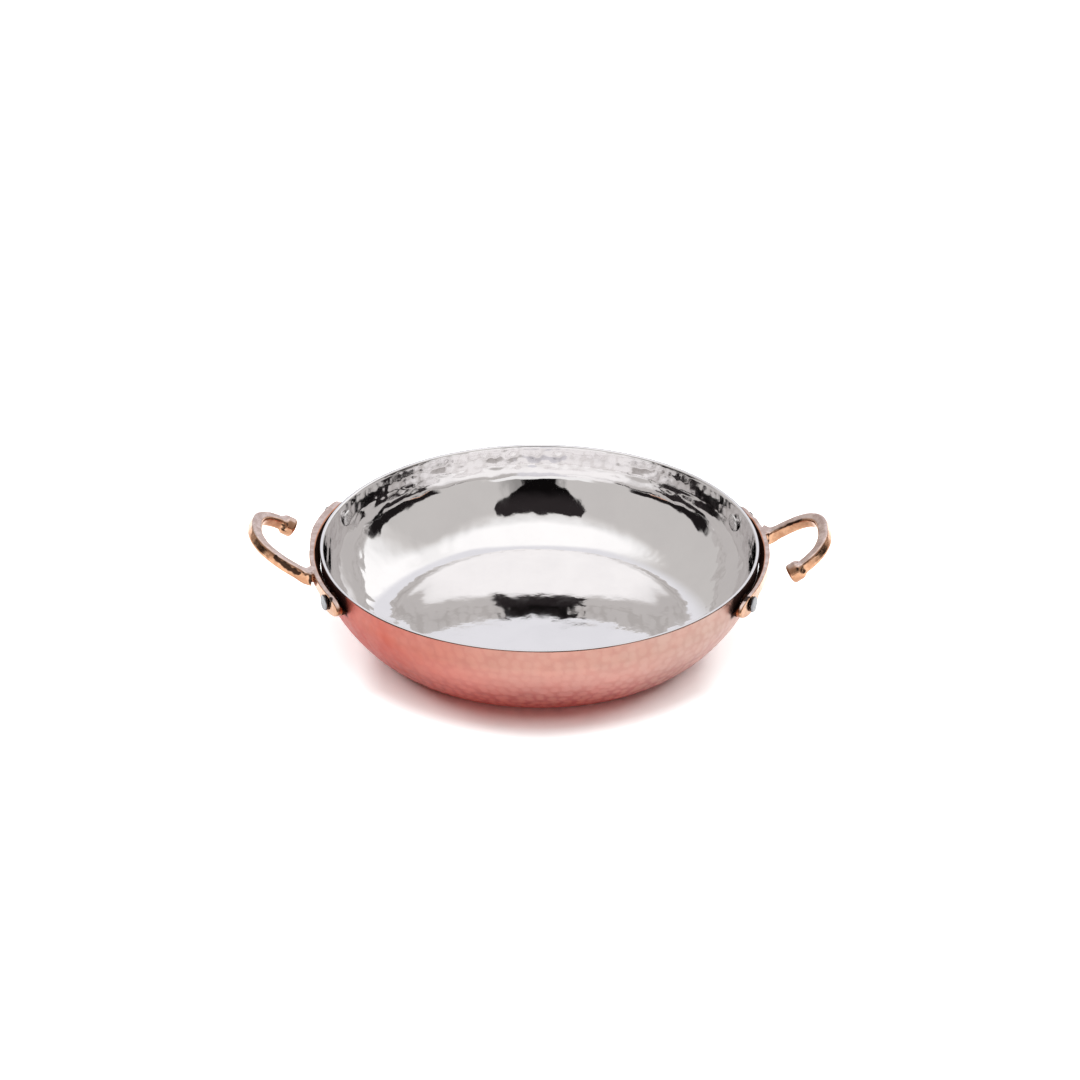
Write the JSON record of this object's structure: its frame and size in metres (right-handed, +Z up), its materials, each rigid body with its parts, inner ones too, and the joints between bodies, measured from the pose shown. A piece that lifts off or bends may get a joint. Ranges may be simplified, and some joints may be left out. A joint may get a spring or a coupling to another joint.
{
  "type": "two-handled egg pan",
  "caption": "Round hammered copper egg pan with a silver-coloured lining, curved side and flat base, held by two riveted bronze hook handles",
  "frame": {"origin": "middle of the flat base's underside, which is also the bottom centre of the bounding box", "axes": "+Z up out of the pan's mouth, X through both handles, -Y towards the side from which the left handle's hook springs"},
  "size_m": [0.2916, 0.22, 0.0594],
  "materials": {
    "copper": "hammered copper sheet, satin outside, polished silver-coloured lining inside",
    "bronze": "polished rose-coloured cast bronze",
    "rivet": "pale silver-grey metal, flat hammered heads"
  },
  "bodies": {
    "root": {"pan_body": "copper", "handle_left": "bronze", "handle_right": "bronze", "rivet_left_front": "rivet", "rivet_left_back": "rivet", "rivet_right_front": "rivet", "rivet_right_back": "rivet"}
  },
  "joints": []
}
